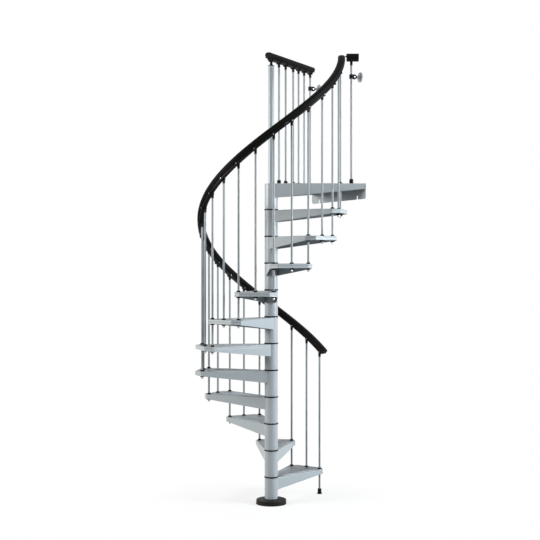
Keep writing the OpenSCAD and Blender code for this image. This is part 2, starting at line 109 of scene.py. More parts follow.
# handrails on their strips
RAIL_HEIGHT = 1020.0
RAIL_DIP = 18.0
RAIL_OUT = 9.0
RAIL_W = 57.0
RAIL_H = 60.0
STRIP_H = 16.0
STRIP_W = 34.0
RAIL_LEAD = 6.1
RAIL_BACK = 49.0
RAIL_AHEAD = 35.0
RAIL_GAP = 0.9
END_RAIL_L = 95.0
HOLDER_H = 32.0
CAP_T = 3.0
GAP = 0.3

# wall brackets
BRACKET_HEIGHT = 837.0
ROSE_R = 40.0

LANDING_RAIL_TOP = LANDING * RISE + 1021.0
END_RAIL_TOP = LANDING_RAIL_TOP - 4.0
BRACKET_Z = LANDING * RISE + BRACKET_HEIGHT
RAIL_MIDDLE_R = RAIL_R + RAIL_OUT
DIP_ANGLE = STEP_ANGLE / 2


def tread_top(n):
    """Height of the top of tread n; the landing counts as the last one."""
    return n * RISE - RING_T / 2


def baluster_angle(k):
    """Direction of corner baluster k, or of a middle one with a half k, in degrees."""
    return FIRST_ANGLE + STEP_ANGLE * k


def dip_share(angle):
    """0 up to half a step before the spiral handrail's end, then growing evenly to 1 at the end."""
    return np.maximum(0, (angle - LAST_ANGLE) / DIP_ANGLE + 1)


def rail_top(angle):
    """Height of the spiral handrail's top at an angle in degrees: an even climb, less the dip at its
    upper end, which grows with the square of its share."""
    climb = RISE * (1 + (angle - FIRST_ANGLE) / STEP_ANGLE)
    return climb + RAIL_HEIGHT - RAIL_DIP * dip_share(angle) ** 2


def rail_slope(angle):
    """How steeply the spiral handrail climbs at an angle, in radians: the arc tangent of its rise a
    degree divided by the length of a degree along its middle."""
    climb = RISE / STEP_ANGLE - 2 * RAIL_DIP * dip_share(angle) / DIP_ANGLE
    return np.arctan(climb / math.radians(RAIL_MIDDLE_R))


def section_over(angle):
    """The angle of the rail section whose underside lies over a post. Sections stand square to the
    climb, so it is lower down by the rail's height times the sine of the slope."""
    def lean(a):
        return math.degrees(RAIL_H * math.sin(rail_slope(a)) / RAIL_MIDDLE_R)
    return angle - lean(angle - lean(angle))


def heading(angle):
    """Unit vector in plan at an angle in degrees."""
    return np.array([math.cos(math.radians(angle)), math.sin(math.radians(angle))])


LANDING_TOP = tread_top(LANDING)
NEWEL_TOP = LANDING_TOP + NEWEL_H


# ---------------------------------------------------------------- shapes: (points, list of face arrays)
def grid_faces(rows, columns, wrap_rows=False, wrap_columns=False):
    """Quads that join every point of a rows by columns grid to the next row and the next column."""
    index = np.arange(rows * columns).reshape(rows, columns)
    if wrap_rows:
        index = np.vstack([index, index[:1]])
    if wrap_columns:
        index = np.hstack([index, index[:, :1]])
    corners = [index[:-1, :-1], index[1:, :-1], index[1:, 1:], index[:-1, 1:]]
    return np.stack(corners, -1).reshape(-1, 4)


def surface(points, wrap_rows=False, wrap_columns=False, capped=False):
    """A grid of points as a shape. Where it is capped, its first and last row each get one flat face."""
    rows, columns = points.shape[:2]
    faces = [grid_faces(rows, columns, wrap_rows, wrap_columns)]
    if capped:
        faces.append(np.arange(columns)[None])
        faces.append(np.arange(columns)[None] + (rows - 1) * columns)
    return points.reshape(-1, 3), faces


def turned(profile, segments=48, ring=False):
    """A profile of (radius, height) turned once round the upright axis: each point becomes
    (radius cos a, radius sin a, height) at evenly spaced angles a. A ring's profile closes on itself."""
    profile = np.asarray(profile, float)
    angle = np.linspace(0, 2 * np.pi, segments, endpoint=False)
    radius, height = profile[:, :1], profile[:, 1:]
    level = np.broadcast_to(height, (len(profile), segments))
    points = np.stack([radius * np.cos(angle), radius * np.sin(angle), level], -1)
    return surface(points, wrap_rows=ring, wrap_columns=True, capped=not ring)


def beside(radius, *points):
    """Profile points for turned(), each given as (offset from a radius, height)."""
    return [(radius + offset, height) for offset, height in points]


def rounded(corners, radius, steps=3):
    """A closed outline whose corners are circular arcs. Each arc touches both edges at radius divided
    by the tangent of half the corner's angle, or less where an edge is short."""
    corners = np.asarray(corners, float)
    radii = np.broadcast_to(radius, len(corners))
    arcs = []
    for before, here, after, r in zip(np.roll(corners, 1, 0), corners, np.roll(corners, -1, 0), radii):
        back, on = before - here, after - here
        room = 0.45 * min(np.linalg.norm(back), np.linalg.norm(on))
        back, on = back / np.linalg.norm(back), on / np.linalg.norm(on)
        half = math.acos(float(np.clip(back @ on, -1, 1))) / 2
        if r == 0 or half > 1.55:
            arcs.append(here[None])
            continue
        reach = min(r / math.tan(half), room)
        share = np.linspace(0, 1, steps + 1)[:, None]
        sweep = math.pi - 2 * half
        start, end = here + back * reach, here + on * reach
        centre = here + (back + on) / np.linalg.norm(back + on) * reach / math.cos(half)
        weights = np.sin((1 - share) * sweep) / math.sin(sweep), np.sin(share * sweep) / math.sin(sweep)
        arcs.append(centre + weights[0] * (start - centre) + weights[1] * (end - centre))
    return np.vstack(arcs)


def prism(outline, low, high, edge=0.0):
    """An outline in x and y carried from height low to high. An edge above 0 draws both rims in
    towards the outline's middle by that much, as a small chamfer."""
    outline = np.asarray(outline, float)
    middle = (outline.max(0) + outline.min(0)) / 2
    away = outline - middle
    distance = np.linalg.norm(away, axis=1, keepdims=True)
    inner = middle + away * (1 - edge / np.maximum(distance, edge * 2 + 1e-9))
    levels = [(outline, low), (outline, high)]
    if edge:
        levels = [(inner, low), (outline, low + edge), (outline, high - edge), (inner, high)]
    rows = [np.column_stack([flat, np.full(len(flat), z)]) for flat, z in levels]
    return surface(np.stack(rows), wrap_columns=True, capped=True)


def moved(shape, origin, x_axis=(1, 0, 0), y_axis=(0, 1, 0), z_axis=(0, 0, 1)):
    """A shape carried to an origin, with its own axes laid along the three given ones."""
    points, faces = shape
    return points @ np.array([x_axis, y_axis, z_axis], float) + np.asarray(origin, float), faces


ALONG_X = ((0, 0, -1), (0, 1, 0), (1, 0, 0))
ACROSS_Y = ((1, 0, 0), (0, 0, 1), (0, -1, 0))


def turned_to(shape, angle, height=0.0, radius=0.0):
    """A shape pushed out along x by radius, lifted by height and turned to an angle about the pole."""
    c, s = heading(angle)
    return moved(shape, (radius * c, radius * s, height), (c, s, 0), (-s, c, 0))


def joined(shapes):
    """Several shapes as one."""
    points, faces, start = [], [], 0
    for shape_points, shape_faces in shapes:
        points.append(shape_points)
        faces += [array + start for array in shape_faces]
        start += len(shape_points)
    return np.vstack(points), faces


def placed(name, data):
    """A new object in the scene with the given mesh, lamp or camera."""
    thing = bpy.data.objects.new(name, data)
    bpy.context.scene.collection.objects.link(thing)
    return thing


def new_piece(name, shapes, material, slot, *nodes, crease=35):
    """One object from shapes in millimetres. Faces point outwards, edges sharper than crease degrees
    stay sharp, and larger faces lead the shading."""
    points, faces = joined(shapes)
    mesh = bpy.data.meshes.new(name)
    mesh.from_pydata((points * MM).tolist(), [], [face for array in faces for face in array.tolist()])
    solid = bmesh.new()
    solid.from_mesh(mesh)
    bmesh.ops.remove_doubles(solid, verts=solid.verts, dist=1e-7)
    bmesh.ops.recalc_face_normals(solid, faces=solid.faces)
    solid.to_mesh(mesh)
    solid.free()
    mesh.shade_smooth()
    mesh.set_sharp_from_angle(angle=math.radians(crease))
    mesh.materials.append(material)
    piece = placed(name, mesh)
    even = piece.modifiers.new("even_shading", "WEIGHTED_NORMAL")
    even.keep_sharp = True
    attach(piece, "root")
    if nodes:
        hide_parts(*nodes)


# ---------------------------------------------------------------- shared effects
def effect_group(name, inputs, outputs):
    """An empty shader group with named sockets: inputs are (name, kind, value), outputs (name, kind)."""
    group = bpy.data.node_groups.new(name, "ShaderNodeTree")
    for label, kind, value in inputs:
        group.interface.new_socket(label, in_out="INPUT", socket_type=kind).default_value = value
    for label, kind in outputs:
        group.interface.new_socket(label, in_out="OUTPUT", socket_type=kind)
    return group, group.nodes.new("NodeGroupInput"), group.nodes.new("NodeGroupOutput")


def add_node(tree, kind, links, **settings):
    """A node with settings, and with its inputs set to values or linked to sockets."""
    node = tree.nodes.new(kind)
    for key, value in settings.items():
        setattr(node, key, value)
    for label, value in links.items():
        if isinstance(value, bpy.types.NodeSocket):
            tree.links.new(value, node.inputs[label])
        else:
            node.inputs[label].default_value = value
    return node


def maths(tree, operation, a, b=0.0, c=0.0):
    """The result of one arithmetic step on two or three values."""
    return add_node(tree, "ShaderNodeMath", {0: a, 1: b, 2: c}, operation=operation).outputs[0]


def remap(tree, value, low, high, to_low, to_high):
    """A value carried from one range to another, and held within it."""
    links = {"Value": value, "From Min": low, "From Max": high, "To Min": to_low, "To Max": to_high}
    return add_node(tree, "ShaderNodeMapRange", links).outputs["Result"]


def noise(tree, place, scale, detail=3.0, roughness=0.5):
    """Soft noise at so many patches a metre."""
    links = {"Vector": place, "Scale": scale, "Detail": detail, "Roughness": roughness}
    return add_node(tree, "ShaderNodeTexNoise", links).outputs["Fac"]


def shade_of(tree, colour, amount):
    """A colour made lighter or darker by a factor."""
    links = {0: colour, "Scale": amount}
    return add_node(tree, "ShaderNodeVectorMath", links, operation="SCALE").outputs[0]


def varied(tree, value, strength):
    """A factor for a tone: 1 plus the strength times a noise value's distance from its middle."""
    return maths(tree, "MULTIPLY_ADD", maths(tree, "SUBTRACT", value, 0.5), strength, 1.0)


def object_place(tree):
    """Where a point lies on the object, in metres."""
    return add_node(tree, "ShaderNodeTexCoord", {}).outputs["Object"]


def give(group, result, **values):
    """Links values to a group's outputs of the same names."""
    for label, value in values.items():
        group.links.new(value, result.inputs[label])


COLOUR = "NodeSocketColor"
NUMBER = "NodeSocketFloat"
SURFACE_OUTPUTS = [("Colour", COLOUR), ("Roughness", NUMBER), ("Height", NUMBER)]


def make_baked_coat():
    """Powder coat: a fine orange-peel height, a slow drift of tone and a patchy gloss."""
    group, given, result = effect_group(
        "baked_coat",
        [("Colour", COLOUR, (0.5, 0.5, 0.5, 1)), ("Drift", NUMBER, 0.04), ("Roughness", NUMBER, 0.4),
         ("Peel", NUMBER, 900.0)],
        SURFACE_OUTPUTS)
    place = object_place(group)
    drift = varied(group, noise(group, place, 3.1), given.outputs["Drift"])
    speck = remap(group, noise(group, place, 2600.0, 1.0), 0.3, 0.7, 0.985, 1.015)
    patch = remap(group, noise(group, place, 23.0), 0.3, 0.7, 0.92, 1.1)
    give(group, result,
         Colour=shade_of(group, given.outputs["Colour"], maths(group, "MULTIPLY", drift, speck)),
         Roughness=maths(group, "MULTIPLY", given.outputs["Roughness"], patch),
         Height=noise(group, place, given.outputs["Peel"], 2.0))
    return group


def make_drawn_metal():
    """Drawn or turned metal: streaks many times longer along the chosen axis than across it."""
    group, given, result = effect_group(
        "drawn_metal",
        [("Colour", COLOUR, (0.5, 0.5, 0.5, 1)), ("Stretch", "NodeSocketVector", (1, 1, 0.02)),
         ("Roughness", NUMBER, 0.3), ("Contrast", NUMBER, 0.06)],
        SURFACE_OUTPUTS)
    pulled = add_node(group, "ShaderNodeVectorMath", {0: object_place(group), 1: given.outputs["Stretch"]},
                      operation="MULTIPLY").outputs[0]
    streak = noise(group, pulled, 1400.0, 2.0, 0.6)
    tone = varied(group, streak, given.outputs["Contrast"])
    gloss = remap(group, streak, 0.3, 0.7, 0.85, 1.15)
    give(group, result,
         Colour=shade_of(group, given.outputs["Colour"], tone),
         Roughness=maths(group, "MULTIPLY", given.outputs["Roughness"], gloss),
         Height=streak)
    return group


def make_moulded_grain():
    """Moulded plastic: a pebbled grain, a little gloss on its crests and a slow drift of tone."""
    group, given, result = effect_group(
        "moulded_grain",
        [("Colour", COLOUR, (0.02, 0.02, 0.02, 1)), ("Grain", NUMBER, 1200.0), ("Roughness", NUMBER, 0.45)],
        SURFACE_OUTPUTS)
    place = object_place(group)
    cells = add_node(group, "ShaderNodeTexVoronoi", {"Vector": place, "Scale": given.outputs["Grain"]},
                     feature="SMOOTH_F1").outputs["Distance"]
    tone = remap(group, noise(group, place, 9.0), 0.3, 0.7, 0.88, 1.12)
    gloss = remap(group, cells, 0.0, 0.8, 0.9, 1.15)
    give(group, result,
         Colour=shade_of(group, given.outputs["Colour"], tone),
         Roughness=maths(group, "MULTIPLY", given.outputs["Roughness"], gloss),
         Height=maths(group, "ADD", cells, noise(group, place, 2200.0)))
    return group


def make_dust_and_top_shade():
    """A thin matte film where a surface faces up, broken by noise: a colour laid over another, and how
    much of it there is. A pale film is dust; a dark one is painted shade on tops that the low side lamps
    leave dim."""
    group, given, result = effect_group(
        "dust_and_top_shade",
        [("Colour", COLOUR, (0.5, 0.5, 0.5, 1)), ("Dust and shade", COLOUR, (0.5, 0.48, 0.45, 1)),
         ("Amount", NUMBER, 0.1)],
        [("Colour", COLOUR), ("Film", NUMBER)])
    normal = add_node(group, "ShaderNodeNewGeometry", {}).outputs["Normal"]
    height = add_node(group, "ShaderNodeSeparateXYZ", {0: normal}).outputs["Z"]
    upward = remap(group, height, 0.9, 1.0, 0.0, 1.0)
    broken = remap(group, noise(group, object_place(group), 60.0, 5.0, 0.65), 0.35, 0.65, 0.75, 1.0)
    film = maths(group, "MULTIPLY", maths(group, "MULTIPLY", upward, broken), given.outputs["Amount"])
    mixed = add_node(group, "ShaderNodeMix", {}, data_type="RGBA")
    group.links.new(film, mixed.inputs[0])
    group.links.new(given.outputs["Colour"], mixed.inputs[6])
    group.links.new(given.outputs["Dust and shade"], mixed.inputs[7])
    give(group, result, Colour=mixed.outputs[2], Film=film)
    return group


BAKED_COAT = make_baked_coat()
DRAWN_METAL = make_drawn_metal()
MOULDED_GRAIN = make_moulded_grain()
DUST_AND_TOP_SHADE = make_dust_and_top_shade()


def finish(name, group, colour, roughness, relief, dust_and_shade=0.0, dust_and_shade_colour=(0.5, 0.48, 0.45), metallic=0.0,
           shine=0.5, **values):
    """A material from one of the shared effects. relief is the depth of its fine height in metres, and
    shine is how strongly it mirrors, where 0.5 is plain plastic. The film laid over upward faces is dust
    where its colour is pale and painted shade where it is dark."""
    material = bpy.data.materials.new(name)
    material.use_nodes = True
    tree = material.node_tree
    shader = tree.nodes["Principled BSDF"]
    effect = add_node(tree, "ShaderNodeGroup", {}, node_tree=group)
    effect.inputs["Colour"].default_value = (*colour, 1)
    effect.inputs["Roughness"].default_value = roughness
    for label, value in values.items():
        effect.inputs[label].default_value = value
    base = effect.outputs["Colour"]
    if dust_and_shade:
        film = add_node(tree, "ShaderNodeGroup", {}, node_tree=DUST_AND_TOP_SHADE)
        film.inputs["Amount"].default_value = dust_and_shade
        film.inputs["Dust and shade"].default_value = (*dust_and_shade_colour, 1)
        tree.links.new(base, film.inputs["Colour"])
        base = film.outputs["Colour"]
        clear = maths(tree, "SUBTRACT", 1.0, film.outputs["Film"])
        tree.links.new(maths(tree, "MULTIPLY", clear, shine), shader.inputs["Specular IOR Level"])
    else:
        shader.inputs["Specular IOR Level"].default_value = shine
    bump = add_node(tree, "ShaderNodeBump",
                    {"Height": effect.outputs["Height"], "Distance": relief, "Strength": 1.0})
    tree.links.new(base, shader.inputs["Base Color"])
    tree.links.new(effect.outputs["Roughness"], shader.inputs["Roughness"])
    tree.links.new(bump.outputs["Normal"], shader.inputs["Normal"])
    shader.inputs["Metallic"].default_value = metallic
    return material


# The dark film on the treads' and landing's upward faces is painted shade: the low side lamps leave the tops
# dim.
TREAD_PAINT = finish("tread_paint", BAKED_COAT, (0.38, 0.42, 0.445), 0.34, 0.00003, dust_and_shade=0.85,
                     dust_and_shade_colour=(0.075, 0.085, 0.098), Drift=0.08)
TUBE_PAINT = finish("tube_paint", DRAWN_METAL, (0.325, 0.37, 0.40), 0.28, 0.000004,
                    Stretch=(1, 1, 0.002), Contrast=0.04)
# The balusters' paint is the tube paint made darker: painted shade for the dark edges that the thin tubes
# show.
BALUSTER_PAINT_SHADED = finish("baluster_paint_shaded", DRAWN_METAL, (0.24, 0.275, 0.298), 0.28, 0.000004,
                        Stretch=(1, 1, 0.002), Contrast=0.04)
BRIGHT_STEEL = finish("bright_steel", DRAWN_METAL, (0.46, 0.47, 0.48), 0.26, 0.000006, metallic=1.0,
                      Stretch=(0.15, 0.15, 1.5), Contrast=0.10)
ROSE_PAINT = finish("rose_paint", BAKED_COAT, (0.36, 0.40, 0.40), 0.38, 0.00003, metallic=0.3)
PLATE_PRIMER = finish("plate_primer", BAKED_COAT, (0.12, 0.12, 0.125), 0.6, 0.00005)
FITTING_PLASTIC = finish("fitting_plastic", MOULDED_GRAIN, (0.006, 0.006, 0.0062), 0.5, 0.00003, shine=0.08)
COVER_PLASTIC = finish("cover_plastic", MOULDED_GRAIN, (0.008, 0.0076, 0.0072), 0.5, 0.00004, dust_and_shade=0.004,
                       shine=0.16, Grain=900.0)
RAIL_PLASTIC = finish("rail_plastic", MOULDED_GRAIN, (0.009, 0.0088, 0.0083), 0.42, 0.00002, shine=0.02,
                      Grain=1600.0)
FITTING_METAL = finish("fitting_metal", BAKED_COAT, (0.006, 0.006, 0.0062), 0.45, 0.00002, shine=0.08)


# ---------------------------------------------------------------- floor plate and pole inside the tubes
for node, material in (("floor_plate", PLATE_PRIMER), ("central_pole", BRIGHT_STEEL)):
    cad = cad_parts[node]
    cad.data.materials.clear()
    cad.data.materials.append(material)


# ---------------------------------------------------------------- hub tubes and spacer rings
BAND_H = 13.0
BAND_GROOVE = 1.0
HUB_SEGMENTS = 96


def hub_tube(low, high):
    """A tube round the pole with a narrow groove near each end, which leaves a bright band there."""
    grooves = []
    for middle in (low + BAND_H, high - BAND_H):
        grooves += [(0, middle - 1.6), (0, middle - 1.0), (-BAND_GROOVE, middle - 0.5),
                    (-BAND_GROOVE, middle + 0.5), (0, middle + 1.0), (0, middle + 1.6)]
    profile = beside(HUB_R, (-HUB_WALL, low), (-1.2, low), (-0.4, low + 0.4), (0, low + 1.2), *grooves,
                     (0, high - 1.2), (-0.4, high - 0.4), (-1.2, high), (-HUB_WALL, high))
    return turned(profile, HUB_SEGMENTS, ring=True)


ring_profile = rounded([(POLE_R + GAP, -RING_T / 2), (RING_R, -RING_T / 2), (RING_R, RING_T / 2),
                        (POLE_R + GAP, RING_T / 2)], (0, 3, 3, 0), 4)
ring = turned(ring_profile, HUB_SEGMENTS, ring=True)
new_piece("spacer_ring_stack", [moved(ring, (0, 0, n * RISE)) for n in range(1, LANDING)],
          FITTING_PLASTIC, "black_plastic", "spacer_rings")


# ---------------------------------------------------------------- pressed trays: the treads and the landing
HUB_SEAT = HUB_R - 0.9
HUB_POINTS = 24
CORNER_STEPS = 6
ROLL = 7.0
EDGE_ROLL = 6.0
GROOVE = 3.0
GROOVE_EASE = 3.0
BEAD_EASE = 10.0
BOSS_R = 13.0

# what is pressed up out of the tops: diagonal bars, and ribs and dots beside the edges
BAR_POINTS = 16
BAR_ANGLE = 62.0
BAR_W = 7.0
BAR_H = 2.4
RIB_INSETS = (13.0, 24.0, 35.0)
RIB_W = 5.0
RIB_H = 1.7
DOT_INSET = 46.0
DOT_PITCH = 15.0
DOT_L = 3.0
DOT_W = 6.0


def tray_path(corners, counts):
    """The plan line of a tray's edge, from where it leaves the hub round to where it comes back, with
    so many points on each edge. Gives the points, the outward directions and the distance run so far.
    Each corner is an arc of radius ROLL round the point that lies that far inside both edges."""
    corners = np.asarray(corners, float)
    run = np.diff(corners, axis=0)
    length = np.linalg.norm(run, axis=1)
    run = run / length[:, None]
    outward = np.column_stack([run[:, 1], -run[:, 0]])
    points, normals = [], []
    for i, count in enumerate(counts):
        start, end = corners[i], corners[i + 1]
        if i > 0:
            start = start + run[i] * ROLL * math.tan(turn / 2)
        if i + 1 < len(counts):
            turn = math.acos(float(run[i] @ run[i + 1]))
            end = end - run[i] * ROLL * math.tan(turn / 2)
        share = np.linspace(0, 1, count)[:, None]
        points.append(start + (end - start) * share)
        normals.append(np.repeat(outward[i][None], count, 0))
        if i + 1 < len(counts):
            first, last = outward[i], outward[i + 1]
            share = np.linspace(0, 1, CORNER_STEPS + 1)[1:-1, None]
            arc = (np.sin((1 - share) * turn) * first + np.sin(share * turn) * last) / math.sin(turn)
            points.append(end - ROLL * first + ROLL * arc)
            normals.append(arc)
    points, normals = np.vstack(points), np.vstack(normals)
    gone = np.concatenate([[0], np.cumsum(np.linalg.norm(np.diff(points, axis=0), axis=1))])
    return points, normals, gone


def tray_profile(depth, groove, bead):
    """The folded edge of the sheet as (offset outwards, height) rows, one set a station: over the
    rolled top, down the face with its groove or shallow bead, round the lower edge and back up inside."""
    face = -GROOVE * groove - 0.5 * bead
    low = -14.2 - 9.6 * groove - 4.5 * bead
    rows = [(-ROLL, 0), (-0.9 * ROLL, 0)]
    rows += [((math.sin(a) - 1) * EDGE_ROLL, (math.cos(a) - 1) * EDGE_ROLL)
             for a in np.radians([0, 22.5, 45, 67.5, 90])]
    rows += [(0, -6.6), (0, -10.5), (face * 0.15, -11.3), (face, -13.2), (face, -14.2)]
    rows += [(face, low), (face, low - 1.0), (face * 0.15, low - 2.9), (0, low - 3.7)]
    rows += [(0, -depth + 2.6), (0, -depth + 1.2), (-0.35, -depth + 0.35), (-1.2, -depth)]
    rows += [(-1.4, -depth), (-2.2, -depth + 0.35), (-SHEET, -depth + 1.2), (-SHEET, low - 3.7)]
    rows += [(face - SHEET, low - 1.0), (face - SHEET, -14.2), (-SHEET, -10.5), (-SHEET, -6.6)]
    rows += [(-3.8, -3.9), (-ROLL, -SHEET)]
    return np.stack([np.stack(np.broadcast_arrays(*row, depth)[:2], -1) for row in rows], 1)


def tray(corners, counts, depth, groove, bead):
    """A pressed tray with its top at z = 0. The edge profile is carried along the plan line, its two
    ends meet the hub tube, and flat sheets close it above and below between the edge and the hub."""
    points, normals, gone = tray_path(corners, counts)
    profile = tray_profile(depth(gone), groove(gone), bead(gone))
    offset, height = profile[..., 0], profile[..., 1]
    plan = points[:, None] + normals[:, None] * offset[..., None]
    for end in (0, -1):
        foot = (points[end] @ normals[end] + offset[end])[:, None] * normals[end]
        along = np.sqrt(HUB_SEAT ** 2 - (foot ** 2).sum(-1))
        side = np.array([-normals[end][1], normals[end][0]])
        side = side * np.sign(side @ (points[end] - foot[0]))
        plan[end] = foot + along[:, None] * side
    grid = np.concatenate([plan, height[..., None]], -1)
    stations, rows = grid.shape[:2]
    shape_points = grid.reshape(-1, 3)
    index = np.arange(stations * rows).reshape(stations, rows)
    sheets = []
    hub = []
    for row, level in ((0, 0.0), (rows - 1, -SHEET)):
        first, last = plan[0, row], plan[-1, row]
        start, end = math.atan2(last[1], last[0]), math.atan2(first[1], first[0])
        start += 2 * math.pi * (start < end)
        angle = np.linspace(start, end, HUB_POINTS + 2)[1:-1]
        level = np.full(HUB_POINTS, level)
        arc = np.column_stack([HUB_SEAT * np.cos(angle), HUB_SEAT * np.sin(angle), level])
        hub_index = len(shape_points) + np.arange(HUB_POINTS)
        shape_points = np.vstack([shape_points, arc])
        sheets.append(np.concatenate([index[:, row], hub_index])[None])
        hub.append(np.concatenate([[index[-1, row]], hub_index, [index[0, row]]]))
    inner_edge = np.stack([hub[0][:-1], hub[0][1:], hub[1][1:], hub[1][:-1]], -1)
    ends = [index[0][None], index[-1][None]]
    return shape_points, [grid_faces(stations, rows), *sheets, inner_edge, *ends]


def boss(low):
    """The short tube inside a tray that a baluster's screw pulls up against, from the sheet down to low."""
    return turned([*beside(BALUSTER_R, (0.4, -SHEET)), *beside(BOSS_R, (-0.8, -SHEET), (0, -SHEET - 0.8),
                   (0, low + 1), (-0.6, low)), *beside(BALUSTER_R, (0.4, low))], 32, ring=True)


def raised_bars(centres, angles, length, width, height):
    """Low rounded bars pressed up out of a sheet: stadium outlines that shrink as they rise. The
    outline's half turn at each end is shifted out by half the straight length."""
    turn = np.linspace(0, 2 * np.pi, BAR_POINTS, endpoint=False) + np.pi / BAR_POINTS
    centres, angles = np.asarray(centres, float), np.radians(np.broadcast_to(angles, len(centres)))
    half = np.broadcast_to(np.asarray(length, float) / 2, len(centres))[:, None, None]
    share = np.array([1.0, 0.86, 0.62, 0.3])[None, :, None]
    rise = np.array([-0.4, height * 0.55, height * 0.9, height])
    levels = len(rise)
    x = np.cos(turn) * share * width / 2 + np.sign(np.cos(turn)) * half
    y = np.broadcast_to(np.sin(turn) * share * width / 2, x.shape)
    c, s = np.cos(angles)[:, None, None], np.sin(angles)[:, None, None]
    points = np.stack([centres[:, :1, None] + x * c - y * s, centres[:, 1:, None] + x * s + y * c,
                       np.broadcast_to(rise[None, :, None], x.shape)], -1)
    start = np.arange(len(centres))[:, None] * levels * BAR_POINTS
    quads = (grid_faces(levels, BAR_POINTS, wrap_columns=True)[None] + start[..., None]).reshape(-1, 4)
    lids = np.arange(BAR_POINTS)[None] + start
    return points.reshape(-1, 3), [quads, lids, lids + (levels - 1) * BAR_POINTS]


# a tread's plan, its middle along x; each edge is a direction and how far out the edge lies along it
corner_hole = RAIL_R * heading(STEP_ANGLE / 2)
side_angle = STEP_ANGLE / 2 - math.degrees(math.asin((SIDE_LINE - SIDE_MARGIN) / RAIL_R))
side_along = heading(side_angle)
side_out = heading(side_angle + 90)
cut_out = heading(CORNER_ANGLE)
cut_line = corner_hole @ cut_out + CORNER_MARGIN
outer_line = RAIL_R + OUTER_MARGIN


def crossing(a, da, b, db):
    """Where the line at distance da along normal a meets the line at distance db along normal b."""
    return np.linalg.solve(np.array([a, b]), np.array([da, db]))


side_start = side_out * SIDE_LINE + side_along * math.sqrt(HUB_SEAT ** 2 - SIDE_LINE ** 2)
side_corner = crossing(side_out, SIDE_LINE, cut_out, cut_line)
outer_corner = crossing(cut_out, cut_line, np.array([1.0, 0.0]), outer_line)
half_outline = np.array([side_start, side_corner, outer_corner])
tread_corners = np.vstack([half_outline * (1, -1), half_outline[::-1]])
side_length = float(np.linalg.norm(side_corner - side_start))
cut_length = float(np.linalg.norm(outer_corner - side_corner))


def bump_between(distance, start, end, ease):
    """0 before start and after end, 1 between them, with an even slope of length ease at both."""
    return np.clip(np.minimum((distance - start) / ease, (end - distance) / ease), 0, 1)


def tread_tray():
    """One tread: side plates that taper from the hub to the corner, and a grooved outer rim."""
    counts = (60, 12, 30, 12, 60)
    full = tray_path(tread_corners, counts)[2][-1]
    stops = [0, side_length - ROLL, side_length + cut_length]

    def from_end(gone):
        return np.minimum(gone, full - gone)

    def depth(gone):
        return np.interp(from_end(gone), stops, [SIDE_H, SIDE_END_H, RIM_H])

    def groove(gone):
        return bump_between(from_end(gone), side_length - 6, full, GROOVE_EASE)

    def bead(gone):
        return bump_between(from_end(gone), 62, side_length - 42, BEAD_EASE)

    return tray(tread_corners, counts, depth, groove, bead)


def edge_relief(outward, distance, along, angle, start, end):
    """Three ribs and a row of dots beside a tray's edge, which lies at a distance along outward."""
    relief = []
    for inset in RIB_INSETS:
        centre = outward * (distance - inset) + along * (start + end) / 2
        relief.append(raised_bars(centre[None], angle, end - start - inset, RIB_W, RIB_H))
    spots = np.linspace(start + DOT_PITCH, end - DOT_PITCH, round((end - start) / DOT_PITCH))
    dot_places = outward * (distance - DOT_INSET) + along * spots[:, None]
    relief.append(raised_bars(dot_places, angle, DOT_L, DOT_W, RIB_H))
    return relief


def tread_relief():
    """What is pressed up out of a tread's top: diagonal bars that widen outwards, ribs and dots along
    both sides, and a row of short bars along the rim."""
    radii = np.linspace(225, 455, 9)
    lengths = np.linspace(60, 176, 9)
    bars = [raised_bars(np.column_stack([radii, radii * 0.02]), BAR_ANGLE, lengths, BAR_W, BAR_H)]
    for side in (1, -1):
        mirror = (1, side)
        bars += edge_relief(side_out * mirror, SIDE_LINE, side_along * mirror, side * side_angle, 115, 478)
    rim_places = np.column_stack([np.full(9, 508.0), np.linspace(-70, 70, 9)])
    bars.append(raised_bars(rim_places, 90, 6.0, 5, 1.4))
    return joined(bars)


boss_shape = boss(-RIM_H)
hole_places = [(*corner_hole, 0), (RAIL_R, 0, 0), (corner_hole[0], -corner_hole[1], 0)]
tread_shape = joined([tread_tray(), tread_relief(), *[moved(boss_shape, place) for place in hole_places]])
for n in range(1, TREADS + 1):
    hub_low = BASE_H if n == 1 else tread_top(n - 1) + RING_T
    shapes = [turned_to(tread_shape, baluster_angle(n - 0.5), tread_top(n)), hub_tube(hub_low, tread_top(n))]
    new_piece(f"tread_{n:02d}_pressing", shapes, TREAD_PAINT, "painted_steel", f"tread_{n:02d}")


# ---------------------------------------------------------------- landing
front_out = np.array([0.0, -1.0])
outer_out = heading(OUTER_ANGLE)
back_along = heading(LANDING_ANGLE)
back_out = heading(LANDING_ANGLE + 90)
landing_edge = LANDING_REACH - FLANGE_T - GAP
landing_corners = np.array([
    [math.sqrt(HUB_SEAT ** 2 - FRONT_MARGIN ** 2), -FRONT_MARGIN],
    crossing(front_out, FRONT_MARGIN, outer_out, landing_edge),
    crossing(outer_out, landing_edge, back_out, BACK_MARGIN),
    back_out * BACK_MARGIN + back_along * math.sqrt(HUB_SEAT ** 2 - BACK_MARGIN ** 2)])
front_length = float(np.linalg.norm(landing_corners[1] - landing_corners[0]))
back_length = float(np.linalg.norm(landing_corners[3] - landing_corners[2]))


def landing_tray():
    """The landing: three folded sides, deepest at the hub, plain faces and a shallow bead at the rail."""
    counts = (60, 40, 60)
    full = tray_path(landing_corners, counts)[2][-1]

    def depth(gone):
        front = np.clip(gone / (front_length - ROLL), 0, 1)
        back = np.clip((full - gone) / (back_length - ROLL), 0, 1)
        return LANDING_SIDE_H + (LANDING_RIM_H - LANDING_SIDE_H) * np.minimum(front, back)

    def plain(gone):
        return np.zeros_like(gone)

    def bead(gone):
        return bump_between(full - gone, 80, back_length - 60, BEAD_EASE)

    return tray(landing_corners, counts, depth, plain, bead)


